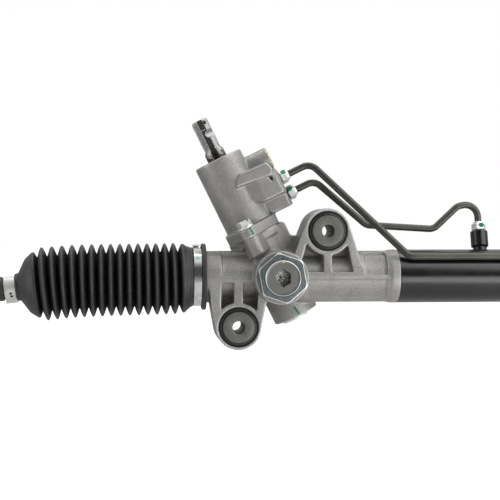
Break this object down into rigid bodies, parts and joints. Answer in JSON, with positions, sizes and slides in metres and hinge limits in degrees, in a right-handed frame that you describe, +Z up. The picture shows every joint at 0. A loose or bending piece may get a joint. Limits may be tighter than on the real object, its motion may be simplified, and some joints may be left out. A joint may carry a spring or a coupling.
{
  "type": "hydraulic rack and pinion steering gear",
  "caption": "Hydraulic rack and pinion steering gear with rotary valve, cylinder tube, bellows boots, inner tie rods and bushed mounting ears.",
  "frame": {"origin": "centre of the upper mounting bush bore, midway between its two faces", "axes": "+X along the rack towards the cylinder tube, +Y to the back, away from the guide cap, +Z up"},
  "size_m": [1.1266, 0.1174, 0.2313],
  "materials": {
    "cast_aluminium": "as cast, fine grain",
    "black_paint": "semi-gloss black paint",
    "pipe_coating": "dark olive-grey coating, semi-gloss",
    "zinc_plate": "bright zinc plate",
    "turned_alloy": "turned, matt",
    "ground_steel": "machined and ground",
    "forged_steel": "forged and turned, dark",
    "bush_steel": "phosphated, matt grey",
    "black_rubber": "matt moulded rubber",
    "seal_plastic": "filled low-friction plastic",
    "bush_bronze": "sintered bearing lining"
  },
  "bodies": {
    "gear_housing": {"rack_housing": "cast_aluminium", "cylinder_tube": "black_paint", "valve_housing": "cast_aluminium", "valve_bolts": "zinc_plate", "valve_o_ring": "black_rubber", "input_shaft_seal": "black_rubber", "input_shaft_bearing": "ground_steel", "pinion_upper_bearing": "ground_steel", "pinion_lower_bearing": "ground_steel", "pinion_end_plug": "zinc_plate", "rack_guide": "turned_alloy", "rack_guide_liner": "bush_bronze", "rack_guide_spring": "ground_steel", "rack_guide_cap": "turned_alloy", "guide_lock_nut": "zinc_plate", "upper_bush_rubber": "black_rubber", "upper_bush_sleeve": "bush_steel", "lower_bush_rubber": "black_rubber", "lower_bush_sleeve": "bush_steel", "left_chamber_pipe": "pipe_coating", "right_chamber_pipe": "pipe_coating", "flare_nuts": "zinc_plate", "inner_seal_sleeve": "turned_alloy", "inner_rack_seal": "black_rubber", "rack_bush": "bush_bronze", "outer_rack_seal": "black_rubber", "end_stopper": "turned_alloy", "stopper_ring": "ground_steel", "left_boot": "black_rubber", "right_boot": "black_rubber", "left_boot_clamp": "zinc_plate", "right_boot_clamp": "zinc_plate"},
    "rack": {"rack_bar": "ground_steel", "piston": "ground_steel", "piston_ring": "seal_plastic", "left_ball_socket": "ground_steel", "right_ball_socket": "ground_steel", "left_lock_washer": "ground_steel", "right_lock_washer": "ground_steel", "left_ball_seat": "seal_plastic", "right_ball_seat": "seal_plastic"},
    "left_tie_rod": {"left_tie_rod": "forged_steel", "left_jam_nut": "zinc_plate", "left_boot_clip": "zinc_plate"},
    "right_tie_rod": {"right_tie_rod": "forged_steel", "right_jam_nut": "zinc_plate", "right_boot_clip": "zinc_plate"},
    "pinion": {"pinion": "ground_steel", "torsion_bar": "ground_steel", "valve_sleeve": "ground_steel", "sleeve_rings": "seal_plastic"},
    "input_shaft": {"input_shaft": "ground_steel"}
  },
  "joints": [
    {"name": "rack_slide", "type": "slide", "parent": "gear_housing", "child": "rack", "axis": [1, 0, 0], "range_m": [-0.072, 0.072], "deforming": ["left_boot", "right_boot"]},
    {"name": "left_tie_rod_swing", "type": "hinge", "parent": "rack", "child": "left_tie_rod", "pos_m": [-0.22, 0, -0.0455], "axis": [0, 1, 0], "range_deg": [-13.5, 26.5]},
    {"name": "right_tie_rod_swing", "type": "hinge", "parent": "rack", "child": "right_tie_rod", "pos_m": [0.488, 0, -0.0455], "axis": [0, 1, 0], "range_deg": [-26.5, 13.5]},
    {"name": "pinion_turn", "type": "hinge", "parent": "gear_housing", "child": "pinion", "pos_m": [-0.048, 0.01685, -0.0455], "axis": [-0.4431, 0, 0.8965], "range_deg": [-543, 543]},
    {"name": "input_twist", "type": "hinge", "parent": "pinion", "child": "input_shaft", "pos_m": [-0.048, 0.01685, -0.0455], "axis": [-0.4431, 0, 0.8965], "range_deg": [-4, 4], "stiffness_Nm_per_rad": 100}
  ],
  "couplings": [
    {"joint": "pinion_turn", "follows": "rack_slide", "rad_per_m": 131.58}
  ]
}
